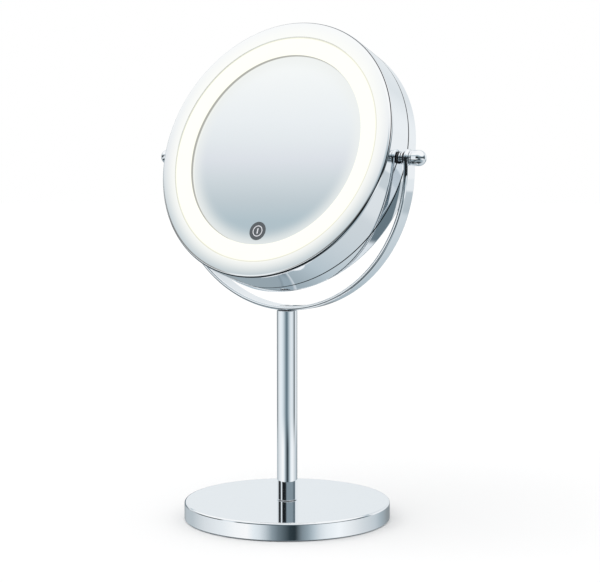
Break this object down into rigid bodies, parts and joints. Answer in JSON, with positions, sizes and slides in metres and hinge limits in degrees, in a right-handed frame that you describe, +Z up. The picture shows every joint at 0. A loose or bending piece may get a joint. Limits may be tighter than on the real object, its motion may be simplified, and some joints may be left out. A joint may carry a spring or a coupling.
{
  "type": "lighted vanity mirror",
  "caption": "Round two-sided lit vanity mirror that tilts in a chrome yoke on a slim post and heavy round base, with a plain and a magnifying face.",
  "frame": {"origin": "centre of the base's underside, on the surface the mirror stands on", "axes": "+Z up along the post, -Y the way the lit face looks at rest, +X along the tilt axis to the right-hand knob as seen from behind the object's front, that is to the viewer's right"},
  "size_m": [0.2084, 0.1372, 0.3284],
  "materials": {
    "chrome_steel": "mirror-bright chrome plating on steel",
    "chrome_plated_plastic": "mirror-bright chrome plating on moulded ABS",
    "mirror_glass": "silvered float glass",
    "opal_diffuser": "satin opal acrylic, lit warm white from behind",
    "white_abs": "fine moulded texture",
    "zinc_steel": "zinc plated",
    "cast_iron": "black painted casting",
    "foam": "closed-cell EVA foam",
    "nylon": "moulded black nylon",
    "led_board": "white solder resist",
    "control_board": "green solder resist",
    "led": "phosphor-filled silicone",
    "black_resin": "moulded epoxy",
    "nickel_contact": "nickel plated",
    "battery_jacket": "printed film jacket without text",
    "wire_jacket": "red PVC insulation"
  },
  "bodies": {
    "stand": {"base_pad": "foam", "base_weight": "cast_iron", "base_shell": "chrome_steel", "base_washer": "zinc_steel", "base_bolt": "zinc_steel", "post_tube": "chrome_steel", "post_lower_insert": "zinc_steel", "post_upper_insert": "zinc_steel", "yoke_screw": "zinc_steel", "yoke": "chrome_steel", "yoke_bush_right": "nylon", "yoke_bush_left": "nylon"},
    "head": {"pivot_collar_right": "chrome_steel", "pivot_collar_left": "chrome_steel", "pivot_knob_right": "chrome_steel", "pivot_knob_left": "chrome_steel", "front_housing": "chrome_plated_plastic", "front_mirror": "mirror_glass", "light_diffuser": "opal_diffuser", "reflector_ring": "white_abs", "chassis": "white_abs", "battery_tray": "white_abs", "lead_connector": "white_abs", "chassis_screw_1": "zinc_steel", "chassis_screw_2": "zinc_steel", "chassis_screw_3": "zinc_steel", "pivot_nut_right": "zinc_steel", "pivot_nut_left": "zinc_steel", "pivot_pin_right": "zinc_steel", "pivot_pin_left": "zinc_steel", "mirror_pad": "foam", "pivot_spacer_right": "nylon", "pivot_spacer_left": "nylon", "led_board": "led_board", "control_board": "control_board", "led_01": "led", "led_02": "led", "led_03": "led", "led_04": "led", "led_05": "led", "led_06": "led", "led_07": "led", "led_08": "led", "led_09": "led", "led_10": "led", "led_11": "led", "led_12": "led", "touch_chip": "black_resin", "touch_electrode": "nickel_contact", "contact_right": "nickel_contact", "contact_left": "nickel_contact", "battery_1": "battery_jacket", "battery_2": "battery_jacket", "battery_3": "battery_jacket", "battery_lead": "wire_jacket", "lamp_lead": "wire_jacket"},
    "rear_cover": {"rear_ring": "chrome_plated_plastic", "magnifying_mirror": "mirror_glass", "rear_carrier": "white_abs"}
  },
  "joints": [
    {"name": "head_tilt", "type": "hinge", "parent": "stand", "child": "head", "pos_m": [0, 0, 0.24], "axis": [1, 0, 0], "continuous": true},
    {"name": "rear_cover_pull", "type": "slide", "parent": "head", "child": "rear_cover", "axis": [0, 0.9373, -0.3486], "range_m": [0, 0.014]}
  ]
}
